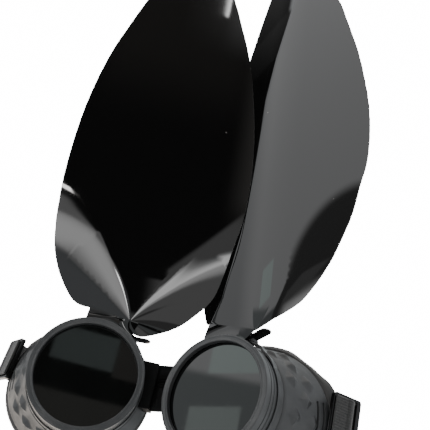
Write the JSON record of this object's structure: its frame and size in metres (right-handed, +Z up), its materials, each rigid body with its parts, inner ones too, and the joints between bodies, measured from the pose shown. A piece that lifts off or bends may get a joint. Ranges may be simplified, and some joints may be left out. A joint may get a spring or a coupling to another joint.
{
  "type": "costume goggles",
  "caption": "Black costume goggles: round eyecups with screw-on lens rings, ribbed rubber nose bridge, elastic head strap and tall glossy sheet ears folded at the foot.",
  "frame": {"origin": "the middle of the nose bridge's face side, at the height of the lens centres", "axes": "+Z up along the ears, -Y forward out of the lenses, +X to the right as the front is seen"},
  "size_m": [0.1972, 0.2002, 0.3742],
  "materials": {
    "soft_cup_plastic": "satin black moulded plastic",
    "ring_plastic": "semi-gloss black moulded plastic",
    "tinted_lens": "dark tinted polished lens",
    "black_rubber": "matt black rubber",
    "face_pad_vinyl": "soft matt black vinyl",
    "gloss_buckle": "gloss black moulded plastic",
    "ribbed_webbing": "black elastic webbing with fine ribs",
    "gloss_ear_sheet": "mirror-gloss black plastic sheet",
    "tie_plastic": "black moulded plastic"
  },
  "bodies": {
    "bridge": {"nose_bridge": "black_rubber", "left_head_strap": "ribbed_webbing", "right_head_strap": "ribbed_webbing"},
    "slide": {"strap_slide": "gloss_buckle"},
    "left_cup": {"left_cup_shell": "soft_cup_plastic", "left_face_pad": "face_pad_vinyl", "left_side_buckle": "gloss_buckle", "left_ear_tab": "gloss_ear_sheet", "left_ear_tie": "tie_plastic"},
    "left_lens_stack": {"left_lens": "tinted_lens", "left_lens_gasket": "black_rubber"},
    "left_ring": {"left_lens_ring": "ring_plastic"},
    "left_leaf": {"left_ear": "gloss_ear_sheet"},
    "right_cup": {"right_cup_shell": "soft_cup_plastic", "right_face_pad": "face_pad_vinyl", "right_side_buckle": "gloss_buckle", "right_ear_tab": "gloss_ear_sheet", "right_ear_tie": "tie_plastic"},
    "right_lens_stack": {"right_lens": "tinted_lens", "right_lens_gasket": "black_rubber"},
    "right_ring": {"right_lens_ring": "ring_plastic"},
    "right_leaf": {"right_ear": "gloss_ear_sheet"}
  },
  "joints": [
    {"name": "left_cup_turn", "type": "hinge", "parent": "bridge", "child": "left_cup", "pos_m": [-0.00638, -0.00328, 0.006], "axis": [0, 0, 1], "range_deg": [-20, 0], "deforming": ["left_head_strap"]},
    {"name": "right_cup_turn", "type": "hinge", "parent": "bridge", "child": "right_cup", "pos_m": [0.00879, -0.0015, 0.006], "axis": [0, 0, 1], "range_deg": [0, 24], "deforming": ["right_head_strap"]},
    {"name": "left_lens_slide", "type": "slide", "parent": "left_cup", "child": "left_lens_stack", "axis": [0.3239, -0.9461, 0], "range_m": [0, 0.0023]},
    {"name": "left_ring_turn", "type": "hinge", "parent": "left_lens_stack", "child": "left_ring", "pos_m": [-0.0312, -0.0345, 0], "axis": [0.3239, -0.9461, 0], "range_deg": [0, 540]},
    {"name": "right_lens_slide", "type": "slide", "parent": "right_cup", "child": "right_lens_stack", "axis": [-0.3939, -0.9191, 0], "range_m": [0, 0.0023]},
    {"name": "right_ring_turn", "type": "hinge", "parent": "right_lens_stack", "child": "right_ring", "pos_m": [0.0312, -0.0345, 0], "axis": [-0.3939, -0.9191, 0], "range_deg": [0, 540]},
    {"name": "left_ear_lean", "type": "hinge", "parent": "left_cup", "child": "left_leaf", "pos_m": [-0.02037, -0.02413, 0.0329], "axis": [0.9684, -0.0931, -0.2313], "range_deg": [0, 50]},
    {"name": "right_ear_lean", "type": "hinge", "parent": "right_cup", "child": "right_leaf", "pos_m": [0.04618, -0.03407, 0.0329], "axis": [0.7458, -0.6259, -0.228], "range_deg": [-25, 0]},
    {"name": "strap_adjust", "type": "slide", "parent": "bridge", "child": "slide", "axis": [1, 0, 0], "range_m": [-0.015, 0.015]}
  ],
  "couplings": [
    {"joint": "left_lens_slide", "follows": "left_ring_turn", "m_per_rad": 0.00023873},
    {"joint": "right_lens_slide", "follows": "right_ring_turn", "m_per_rad": 0.00023873}
  ]
}
